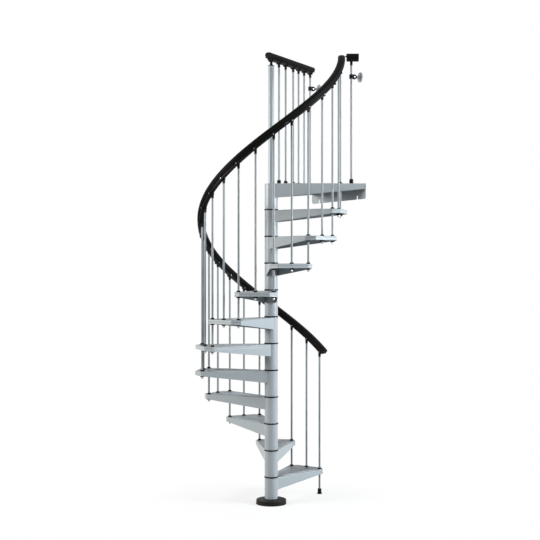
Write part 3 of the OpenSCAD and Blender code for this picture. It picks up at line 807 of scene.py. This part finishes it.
def landing_relief():
    """Bars across the landing, and ribs and dots along its front edge. The ribs stop short of the
    baluster that passes the front edge."""
    reach = np.linspace(190, 530, 12)
    middle = heading(OUTER_ANGLE + 2)
    bars = [raised_bars(middle * reach[:, None], OUTER_ANGLE + BAR_ANGLE, reach * 0.5, BAR_W, BAR_H)]
    bars += edge_relief(front_out, FRONT_MARGIN, np.array([1.0, 0.0]), 0, 105, 500)
    return joined(bars)


passing = RAIL_R * heading(LAST_ANGLE)
landing_shapes = [
    moved(landing_tray(), (0, 0, LANDING_TOP)),
    moved(landing_relief(), (0, 0, LANDING_TOP)),
    moved(boss_shape, (*passing, LANDING_TOP)),
    hub_tube(tread_top(TREADS) + RING_T, LANDING_TOP)]
new_piece("landing_pressing", landing_shapes, TREAD_PAINT, "painted_steel", "landing_platform")

flange_start = crossing(front_out, FRONT_MARGIN, outer_out, LANDING_REACH)
flange_end = crossing(outer_out, LANDING_REACH, back_out, BACK_MARGIN)
flange_l = float(np.linalg.norm(flange_end - flange_start))


def slot_corners(x):
    """A slot open at the lower edge, from left to right."""
    left, right, top = x - SLOT_W / 2, x + SLOT_W / 2, SLOT_H - FLANGE_H
    return [(left, -FLANGE_H), (left, top), (right, top), (right, -FLANGE_H)]


flange_corners = [(0, 0), (0, -FLANGE_H), *slot_corners(SLOT_INSET), *slot_corners(flange_l - SLOT_INSET),
                  (flange_l, -FLANGE_H), (flange_l, 0)]
slot_radii = [1, SLOT_W / 2.05, SLOT_W / 2.05, 1]
flange_outline = rounded(flange_corners, [2, FLANGE_CUT, *slot_radii, *slot_radii, FLANGE_CUT, 2], 6)
flange_turn = heading(OUTER_ANGLE + 90)
flange = moved(prism(flange_outline, -FLANGE_T, 0), (*flange_start, LANDING_TOP),
               (*flange_turn, 0), (0, 0, 1), (*outer_out, 0))
new_piece("landing_flange_plate", [flange], TREAD_PAINT, "painted_steel", "wall_flange")


# ---------------------------------------------------------------- balusters
def post(radius, wall, low, high, segments=32):
    """A tube with slightly eased ends."""
    profile = beside(radius, (-wall, low), (-0.4, low), (0, low + 0.4), (0, high - 0.4), (-0.4, high),
                     (-wall, high))
    return turned(profile, segments, ring=True)


def baluster(low, high):
    """A baluster's tube."""
    return post(BALUSTER_R, BALUSTER_WALL, low, high)


def under_rail(k):
    """Height at which baluster k's axis meets the underside of the handrail's strip."""
    angle = section_over(baluster_angle(k))
    return rail_top(angle) - RAIL_H * math.cos(rail_slope(angle))


def washer_low(n):
    """Underside of the washers below tread n."""
    return tread_top(n) - RIM_H - WASHER_H


def at_baluster(shape, k, height=0.0):
    """A shape at baluster k of the spiral."""
    return turned_to(shape, baluster_angle(k), height, RAIL_R)


def at_railing(shape, distance, height=0.0):
    """A shape so far along the landing's back edge, its x along that edge."""
    return turned_to(shape, LANDING_ANGLE, height, distance)


corner_ks = list(range(1, TREADS + 1))
middle_ks = [n - 0.5 for n in corner_ks]
all_ks = [k / 2 for k in range(2 * TREADS + 1)]
new_piece("start_baluster_tube", [at_baluster(baluster(FOOT_H / 2, under_rail(0) - HOLDER_H), 0)],
          BALUSTER_PAINT_SHADED, "baluster_steel", "start_baluster")
new_piece("corner_baluster_tubes",
          [at_baluster(baluster(washer_low(k), under_rail(k) - HOLDER_H), k) for k in corner_ks],
          BALUSTER_PAINT_SHADED, "baluster_steel", "corner_balusters")
new_piece("middle_baluster_tubes",
          [at_baluster(baluster(washer_low(k + 0.5), under_rail(k) - HOLDER_H), k) for k in middle_ks],
          BALUSTER_PAINT_SHADED, "baluster_steel", "middle_balusters")
new_piece("landing_baluster_tubes",
          [at_railing(baluster(LANDING_TOP, LANDING_RAIL_TOP - RAIL_H - HOLDER_H), d) for d in RAILING],
          BALUSTER_PAINT_SHADED, "baluster_steel", "landing_balusters")
new_piece("end_baluster_tube",
          [moved(baluster(LANDING_TOP, END_RAIL_TOP - RAIL_H - HOLDER_H), (END_POST_X, 0, 0))],
          BALUSTER_PAINT_SHADED, "baluster_steel", "end_baluster")
new_piece("newel_tube", [post(POLE_R, POLE_WALL, LANDING_TOP, NEWEL_TOP, 64)],
          TUBE_PAINT, "baluster_steel", "newel_post")

bore = BALUSTER_R + GAP


def sleeve(radius, height, *points):
    """A ring on a baluster, whose outside is given as (offset from the radius, height) points."""
    return turned([(bore, 0), *beside(radius, *points), (bore, height)], 32, ring=True)


collar = sleeve(COLLAR_R, COLLAR_H, (-0.6, 0), (0, 0.6), (0, 3.2), (-0.5, 4.8), (-1.6, 7), (-3.2, 9),
                (-4.6, 10.3), (-5.4, COLLAR_H))
hole_ks = [(k, n) for n in corner_ks for k in (n - 1, n - 0.5, n)]
new_piece("tread_collars", [at_baluster(collar, k, tread_top(n)) for k, n in hole_ks],
          FITTING_PLASTIC, "black_plastic", "upper_collars")

washer = sleeve(WASHER_R, WASHER_H, (-4.6, 0), (-2.2, 1.1), (-0.6, 3.2), (0, 5.4), (0, WASHER_H - 0.5),
                (-0.5, WASHER_H))
new_piece("tread_washers", [at_baluster(washer, k, washer_low(n)) for k, n in [*hole_ks, (TREADS, LANDING)]],
          FITTING_PLASTIC, "black_plastic", "lower_washers")

NUT_CORNER_R = 10.2
hexagon = [NUT_CORNER_R * heading(angle) for angle in range(0, 360, 60)]
acorn = joined([
    prism(rounded(hexagon, 0.8, 2), -6.4, -0.6, 0.5),
    turned([(9.8, 0), (9.8, -0.8), (8.4, -1.0), (8.4, -6.2), (8.1, -8.2), (7.1, -10.8), (5.3, -13.4),
            (2.9, -15.2), (0.8, -NUT_H)], 24)])
new_piece("acorn_nuts",
          [at_baluster(acorn, k, washer_low(n)) for n in corner_ks for k in (n - 0.5, n)],
          BRIGHT_STEEL, "bare_steel", "cap_nuts")

socket = sleeve(COLLAR_R, SOCKET_H, (0.5, 0), (1, 0.6), (1, 2.8), (0.6, 3.6), (0, 4.6), (0, SOCKET_H - 4),
                (-0.6, SOCKET_H - 1.8), (-1.8, SOCKET_H - 0.5), (-3.2, SOCKET_H))
socket_shapes = [at_railing(socket, d, LANDING_TOP) for d in RAILING]
socket_shapes += [moved(socket, (END_POST_X, 0, LANDING_TOP)), at_baluster(collar, TREADS, LANDING_TOP)]
new_piece("landing_baluster_sockets", socket_shapes, FITTING_PLASTIC, "black_plastic", "landing_sockets")

foot_profile = [
    *beside(FOOT_R, (-2.6, 0), (-0.6, 0.8), (0, 2.6), (0, 5.4), (-0.8, 7), (-2.6, 10.5), (-4, 14), (-4.5, 17),
            (-4.5, FOOT_H - 3), (-5, FOOT_H - 1), (-6.4, FOOT_H)),
    *beside(bore, (2.4, FOOT_H), (1, FOOT_H - 1.2), (0, FOOT_H - 4), (0, FOOT_H / 2))]
foot = turned(foot_profile, 48)
new_piece("start_baluster_foot", [at_baluster(foot, 0)], FITTING_PLASTIC, "black_plastic", "baluster_foot")


# ---------------------------------------------------------------- cover on the floor, cap on the newel
cover_bore = HUB_R - 0.5 + GAP
cover_profile = [
    *beside(COVER_R, (-3, 0), (-0.5, 0), (0, 0.6), (0, 4.6), (-0.7, 5.8), (-1.6, 6.6), (-1.8, 8),
            (-1.8, 29.5), (-2.6, 32.6), (-5, 35), (-8.5, 36), (-12, 36.4)),
    *beside(cover_bore, (15, 38.3), (13, 38.9), (11.4, 40.2), (9.6, 40.7), (0, 40.7), (0, 37.7), (9, 37.7)),
    *beside(COVER_R, (-12, 33.4), (-6, 30), (-5, 8))]
new_piece("pole_cover", [turned(cover_profile, 128, ring=True)], COVER_PLASTIC, "black_plastic", "base_cover")

newel_top_profile = beside(POLE_R, (3.4, 0), (4, 0.6), (4, 2.2), (3.2, 3), (0.4, 4), (-4.4, 5.8), (-8, 8.4),
                           (-9.6, 11), (-10.4, NEWEL_CAP_H))
new_piece("newel_top", [moved(turned(newel_top_profile, 64), (0, 0, NEWEL_TOP))],
          FITTING_PLASTIC, "black_plastic", "newel_cap")


# ---------------------------------------------------------------- handrails
TURN_STEP = 1.25
half_w = RAIL_W / 2
rail_half = np.array([
    *beside(half_w, (-5, STRIP_H), (-2.5, STRIP_H + 2), (-2.5, STRIP_H + 5), (-5, STRIP_H + 7),
            (-5, STRIP_H + 10.5), (-0.5, STRIP_H + 13.5), (0, RAIL_H - 22), (-0.5, RAIL_H - 15),
            (-3, RAIL_H - 8.5), (-7.5, RAIL_H - 4), (-14.5, RAIL_H - 1), (-20, RAIL_H))])
rail_outline = np.vstack([rail_half, rail_half[::-1] * (-1, 1)])
rail_radii = [0.8, 1.2, 1.2, 1.5, 1.5, 1.5, 14, 14, 12, 14, 24, 30]
rail_section = rounded(rail_outline, rail_radii + rail_radii[::-1], 3)
strip_section = rounded([
    (3 - STRIP_W / 2, 0), (STRIP_W / 2 - 3, 0), (STRIP_W / 2, 3), (STRIP_W / 2, STRIP_H - RAIL_GAP),
    (-STRIP_W / 2, STRIP_H - RAIL_GAP), (-STRIP_W / 2, 3)], (1.2, 1.2, 1.2, 0.4, 0.4, 1.2), 3)


def climbing(section, start, end):
    """A rail's section carried up the helix. At each angle the section lies square to the climb: its
    x points away from the pole, its y leans back by the slope, and each point keeps its own radius."""
    angle = np.linspace(start, end, round((end - start) / TURN_STEP) + 1)
    lift = section[None, :, 1] - RAIL_H
    slope = rail_slope(angle)[:, None]
    back = lift * np.sin(slope)
    radius = np.sqrt((RAIL_MIDDLE_R + section[None, :, 0]) ** 2 - back ** 2)
    c, s = np.cos(np.radians(angle))[:, None], np.sin(np.radians(angle))[:, None]
    height = rail_top(angle)[:, None] + lift * np.cos(slope)
    points = np.stack([radius * c + back * s, radius * s - back * c, height], -1)
    return surface(points, wrap_columns=True, capped=True)


def straight(section, start, end, edge=0.0):
    """A rail's section carried along x, with its lower side at z = 0."""
    points, faces = prism(section, start, end, edge)
    return points[:, [2, 0, 1]], faces


rail_start = FIRST_ANGLE - RAIL_LEAD
last_d = RAILING[-1]
back_x0 = -RAIL_BACK
back_x1 = last_d + RAIL_AHEAD
back_low = LANDING_RAIL_TOP - RAIL_H
end_x0 = END_POST_X + 10 - END_RAIL_L / 2
end_x1 = end_x0 + END_RAIL_L
end_low = END_RAIL_TOP - RAIL_H


def along_back(section, start, end, edge=0.0):
    """A stretch of a section on the landing's railing, between two distances from the newel's axis."""
    return at_railing(straight(section, start, end, edge), 0, back_low)


def along_end(section, start, end, edge=0.0):
    """A stretch of a section on the short rail at the front corner, between two places on the x axis."""
    return moved(straight(section, start, end, edge), (0, 0, end_low))


new_piece("spiral_rail_body", [climbing(rail_section, rail_start, LAST_ANGLE)],
          RAIL_PLASTIC, "rail_plastic", "spiral_handrail", crease=50)
new_piece("spiral_rail_carrier", [climbing(strip_section, rail_start + 1, LAST_ANGLE - 1)],
          FITTING_METAL, "rail_plastic", "spiral_rail_strip", crease=50)
new_piece("landing_rail_body", [along_back(rail_section, back_x0 + CAP_T, back_x1 - CAP_T)],
          RAIL_PLASTIC, "rail_plastic", "landing_handrail", crease=50)
new_piece("landing_rail_carrier", [along_back(strip_section, back_x0 + 18, back_x1 - 18)],
          FITTING_METAL, "rail_plastic", "landing_rail_strip", crease=50)
new_piece("end_rail_body", [along_end(rail_section, end_x0 + CAP_T, end_x1 - CAP_T)],
          RAIL_PLASTIC, "rail_plastic", "end_rail", crease=50)
new_piece("end_rail_carrier", [along_end(strip_section, end_x0 + CAP_T, end_x1 - CAP_T)],
          FITTING_METAL, "rail_plastic", "end_rail_strip", crease=50)


def climb_axes(angle):
    """At an angle on the helix: the directions away from the pole, up square to the climb, and along it."""
    c, s = heading(angle)
    slope = rail_slope(angle)
    cs, sn = math.cos(slope), math.sin(slope)
    return (c, s, 0), (s * sn, -c * sn, cs), (-s * cs, c * cs, sn)


def climb_cap(angle, side):
    """A flat end plate on the spiral rail, before its start or after its end."""
    out, up, along = climb_axes(angle)
    plate = prism(rail_section - (0, RAIL_H), 0, CAP_T, 0.5)
    origin = np.array([*(RAIL_MIDDLE_R * heading(angle)), rail_top(angle)])
    origin = origin + np.array(along) * (side - 1) / 2 * CAP_T
    return moved(plate, origin, out, up, along)


cap_half = np.vstack([[(STRIP_W / 2 - 3, 0), (STRIP_W / 2, 3), (STRIP_W / 2, STRIP_H)], rail_half])
full_section = rounded(np.vstack([cap_half, cap_half[::-1] * (-1, 1)]), 0.8, 2)
cap_shapes = [
    along_back(rail_section, back_x0, back_x0 + CAP_T, 0.5),
    along_back(rail_section, back_x1 - CAP_T, back_x1, 0.5),
    along_end(full_section, end_x0, end_x0 + CAP_T, 0.5),
    along_end(full_section, end_x1 - CAP_T, end_x1, 0.5),
    climb_cap(rail_start, -1),
    climb_cap(LAST_ANGLE, 1)]
new_piece("rail_end_plates", cap_shapes, FITTING_PLASTIC, "black_plastic", "rail_end_caps", crease=40)

LINK_R = 5.5
LINK_DROP = 9.0
link_x0 = RAIL_MIDDLE_R + half_w + GAP
link_l = end_x0 - GAP - link_x0
link = turned(beside(LINK_R, (-0.6, 0), (0, 0.6), (0, link_l - 0.6), (-0.6, link_l)), 32)
link_y = RAIL_MIDDLE_R * math.sin(math.radians(LAST_ANGLE)) + 4
link_origin = (link_x0, link_y, rail_top(LAST_ANGLE) - LINK_DROP)
new_piece("rail_link_bar", [moved(link, link_origin, *ALONG_X)],
          FITTING_METAL, "black_metal", "rail_link")


# ---------------------------------------------------------------- holders between balusters and rails
HOLDER_R = BALUSTER_R + 2.5
EAR_R = STRIP_H / 2 - RAIL_GAP
EAR_Y = STRIP_W / 2 + RAIL_GAP
EAR_T = 3.0
BAR_T = 5.0


def tilted(shape, slope):
    """A shape whose x axis is tilted up to a rail's slope."""
    cs, sn = math.cos(slope), math.sin(slope)
    return moved(shape, (0, 0, 0), (cs, 0, sn), (0, 1, 0), (-sn, 0, cs))


def headed(head, place, reach):
    """A pin's two heads, which face away from each other along y at the given reach from a place."""
    x, y, z = place
    return joined([moved(head, (x, y + side * reach, z), (1, 0, 0), (0, 0, -side), (0, side, 0))
                   for side in (1, -1)])


def holder(slope, length, out=0.0):
    """A socket on a post, cut off along the rail's slope, with a cross bar and two ears that clasp
    the strip. The origin is where the post's axis meets the strip's underside. The rail climbs along
    x, and its middle lies at y = -out."""
    profile = beside(HOLDER_R, (-1.5, -length), (-0.4, -length + 0.4), (0, -length + 1.4), (0, -length + 4),
                     (-0.5, -length + 4.8), (-0.5, -length + 6), (0, -length + 6.8), (0, -RAIL_GAP - 1),
                     (0, 0.0), (-1, 0.0))
    points, faces = turned([(2.0, -length), *profile], 32)
    ceiling = points[:, 0] * math.tan(slope) - RAIL_GAP / math.cos(slope)
    points[:, 2] = np.where(points[:, 2] > -RAIL_GAP - 2, ceiling, np.minimum(points[:, 2], ceiling - 0.4))
    low = -BAR_T - RAIL_GAP
    bar_y = EAR_Y + EAR_T
    bar_outline = rounded([(-EAR_R, -bar_y), (EAR_R, -bar_y), (EAR_R, bar_y), (-EAR_R, bar_y)], 1.5, 3)
    bar = prism(bar_outline - (0, out), low, -RAIL_GAP, 0.4)
    top = np.radians(np.linspace(0, 180, 13))
    ear_outline = np.vstack([[(-EAR_R, low + 0.4), (EAR_R, low + 0.4)],
                             np.column_stack([EAR_R * np.cos(top), STRIP_H / 2 + EAR_R * np.sin(top)])])
    ear = prism(ear_outline, 0, EAR_T, 0.4)
    ears = [moved(ear, (0, y - out, 0), *ACROSS_Y) for y in (bar_y, -EAR_Y)]
    return joined([(points, faces), *[tilted(part, slope) for part in (bar, *ears)]])


def holder_pins(slope, out=0.0):
    """The round heads of the pin through a holder's two ears."""
    head = turned([(3.4, 0), (3.4, 0.8), (2.8, 1.5), (1.4, 1.9)], 20)
    return tilted(headed(head, (0, -out, STRIP_H / 2), EAR_Y + EAR_T), slope)


def below_climb(shape, k):
    """A holder's shape at baluster k, its x along the climb."""
    c, s = heading(baluster_angle(k))
    return moved(shape, (RAIL_R * c, RAIL_R * s, under_rail(k)), (-s, c, 0), (-c, -s, 0))


slopes = {k: float(rail_slope(section_over(baluster_angle(k)))) for k in all_ks}
level_holder = holder(0.0, HOLDER_H)
newel_holder = holder(0.0, back_low - NEWEL_TOP - NEWEL_CAP_H)
new_piece("spiral_rail_holders", [below_climb(holder(slopes[k], HOLDER_H, RAIL_OUT), k) for k in all_ks],
          FITTING_METAL, "black_metal", "rail_holders")
new_piece("landing_holders",
          [at_railing(newel_holder, 0, back_low), *[at_railing(level_holder, d, back_low) for d in RAILING],
           moved(level_holder, (END_POST_X, 0, end_low))],
          FITTING_METAL, "black_metal", "landing_rail_holders")
level_pins = holder_pins(0.0)
new_piece("spiral_holder_pins", [below_climb(holder_pins(slopes[k], RAIL_OUT), k) for k in all_ks],
          BRIGHT_STEEL, "bare_steel")
new_piece("landing_holder_pins",
          [*[at_railing(level_pins, d, back_low) for d in (0, *RAILING)],
           moved(level_pins, (END_POST_X, 0, end_low))],
          FITTING_METAL, "black_metal")


# ---------------------------------------------------------------- wall brackets
CLAMP_H = 34.0
CLAMP_R = bore + 8
LUG_X = 27.0
LUG_R = 20.0
LUG_T = 12.0
ARM_END = 50.0
ARM_R = LUG_T / 2
ARM_L = ARM_END - LUG_X
clamp_profile = beside(CLAMP_R, (-1, -CLAMP_H / 2), (0, 1 - CLAMP_H / 2), (0, CLAMP_H / 2 - 1),
                       (-1, CLAMP_H / 2))
clamp = turned([(bore, -CLAMP_H / 2), *clamp_profile, (bore, CLAMP_H / 2)], 40, ring=True)
lug_profile = beside(LUG_R, (-2.4, 0), (-0.7, 0.7), (0, 2.4), (0, LUG_T - 2.4), (-0.7, LUG_T - 0.7),
                     (-2.4, LUG_T))
lug = moved(turned(lug_profile, 48), (LUG_X, LUG_T / 2, 0), *ACROSS_Y)
arm_profile = beside(ARM_R, (0, 0), (0, ARM_L - 4), (1.5, ARM_L - 3), (1.5, ARM_L - 0.2))
arm = moved(turned(arm_profile, 32), (LUG_X, 0, 0), *ALONG_X)
bolt_head = turned([(6.4, 0), (6.4, 2.2), (5.6, 3.0), (3.2, 3.0), (2.8, 2.2)], 32)
bolt = headed(bolt_head, (LUG_X, 0, 0), LUG_T / 2)
facing_wall = ((*outer_out, 0), (-outer_out[1], outer_out[0], 0))
clamp_shapes, bolt_shapes, rose_shapes = [], [], []
for place in (np.array([END_POST_X, 0.0]), last_d * back_along):
    wall = LANDING_REACH - float(place @ outer_out)
    rose_profile = [(8.6, ARM_END), (9, ARM_END + 0.6), (9, wall - 24), (9.8, wall - 19), (12, wall - 14.5),
                    (15.5, wall - 11), (21, wall - 8.6), (29, wall - 7),
                    *beside(ROSE_R, (-3, wall - 6), (-1, wall - 5), (0, wall - 3), (0, wall - 0.6),
                            (-0.6, wall))]
    rose = moved(turned(rose_profile, 64), (0, 0, 0), *ALONG_X)
    spot = (*place, BRACKET_Z)
    clamp_shapes.append(moved(joined([clamp, lug, arm]), spot, *facing_wall))
    bolt_shapes.append(moved(bolt, spot, *facing_wall))
    rose_shapes.append(moved(rose, spot, *facing_wall))
new_piece("bracket_clamp_pair", clamp_shapes, FITTING_METAL, "black_metal", "bracket_clamps")
new_piece("bracket_bolts", bolt_shapes, BRIGHT_STEEL, "bare_steel")
new_piece("wall_rose_pair", rose_shapes, ROSE_PAINT, "rose_metal", "wall_roses")


# ---------------------------------------------------------------- floor, white surroundings, lamps, camera
def seen_directly(tree):
    """1 for rays that show a surface to the camera, straight on or by reflection or glass."""
    path = add_node(tree, "ShaderNodeLightPath", {})
    shown = maths(tree, "MAXIMUM", path.outputs["Is Camera Ray"], path.outputs["Is Glossy Ray"])
    return maths(tree, "MAXIMUM", shown, path.outputs["Is Transmission Ray"])


def floor_material():
    """A pale floor that keeps the object's shadow near it and fades to plain white further out."""
    material = bpy.data.materials.new("pale_floor")
    material.use_nodes = True
    tree = material.node_tree
    tree.nodes.remove(tree.nodes["Principled BSDF"])
    far = add_node(tree, "ShaderNodeVectorMath", {0: object_place(tree)}, operation="LENGTH").outputs["Value"]
    fade = remap(tree, far, 0.1, 1.1, 0.7, 1.0)
    direct = add_node(tree, "ShaderNodeLightPath", {}).outputs["Is Camera Ray"]
    tone = remap(tree, direct, 0.0, 1.0, 0.3, 0.95)
    diffuse = add_node(tree, "ShaderNodeBsdfDiffuse", {"Color": tone})
    white = add_node(tree, "ShaderNodeEmission", {"Color": (1, 1, 1, 1), "Strength": 1.0})
    share = maths(tree, "MULTIPLY", fade, seen_directly(tree))
    mix = add_node(tree, "ShaderNodeMixShader", {0: share, 1: diffuse.outputs[0], 2: white.outputs[0]})
    tree.links.new(mix.outputs[0], tree.nodes["Material Output"].inputs["Surface"])
    return material


FLOOR_HALF = 30.0
floor_mesh = bpy.data.meshes.new("studio_floor")
floor_corners = [(-FLOOR_HALF, -FLOOR_HALF, 0), (FLOOR_HALF, -FLOOR_HALF, 0), (FLOOR_HALF, FLOOR_HALF, 0),
                 (-FLOOR_HALF, FLOOR_HALF, 0)]
floor_mesh.from_pydata(floor_corners, [], [(0, 1, 2, 3)])
floor_mesh.materials.append(floor_material())
floor = placed("studio_floor", floor_mesh)

AMBIENT = 0.32
AMBIENT_ABOVE = 0.14
world = bpy.data.worlds.new("white_surroundings")
world.use_nodes = True
bpy.context.scene.world = world
sky = world.node_tree
backdrop = sky.nodes["Background"]
direction = add_node(sky, "ShaderNodeTexCoord", {}).outputs["Generated"]
upward = add_node(sky, "ShaderNodeSeparateXYZ", {0: direction})
around = remap(sky, upward.outputs["Z"], 0.1, 0.9, AMBIENT, AMBIENT_ABOVE)
level = remap(sky, seen_directly(sky), 0.0, 1.0, around, 1.0)
sky.links.new(level, backdrop.inputs["Strength"])
backdrop.inputs["Color"].default_value = (1, 1, 1, 1)


def lamp(name, place, target, size, power, colour):
    """A soft rectangular lamp that faces the target."""
    light = bpy.data.lights.new(name, "AREA")
    light.shape = "RECTANGLE"
    light.size, light.size_y = size
    light.energy = power
    light.color = colour
    lamp_object = placed(name, light)
    lamp_object.location = place
    x, y, z = np.array(place, float) - np.array(target, float)
    lamp_object.rotation_euler = (math.atan2(math.hypot(x, y), z), 0, math.atan2(x, -y))


MIDDLE = (0, 0, 1.8)
lamp("left_lamp", (-6.0, -1.4, 3.2), MIDDLE, (2.6, 2.0), 380, (1.0, 0.98, 0.93))
lamp("right_lamp", (6.0, -1.6, 3.0), MIDDLE, (2.6, 2.4), 530, (0.90, 0.96, 1.0))
lamp("front_lamp", (0.3, -7.0, 5.5), MIDDLE, (1.6, 1.0), 50, (1.0, 1.0, 1.0))

camera = bpy.data.cameras.new("camera")
camera.lens = 74.76
camera.sensor_width = 36.0
camera.shift_y = -0.0126
camera_object = placed("camera", camera)
camera_object.location = (-0.0097, -8.822, 1.8896)
camera_object.rotation_euler = (math.pi / 2, 0, 0)
bpy.context.scene.camera = camera_object
bpy.context.scene.view_settings.view_transform = "Standard"
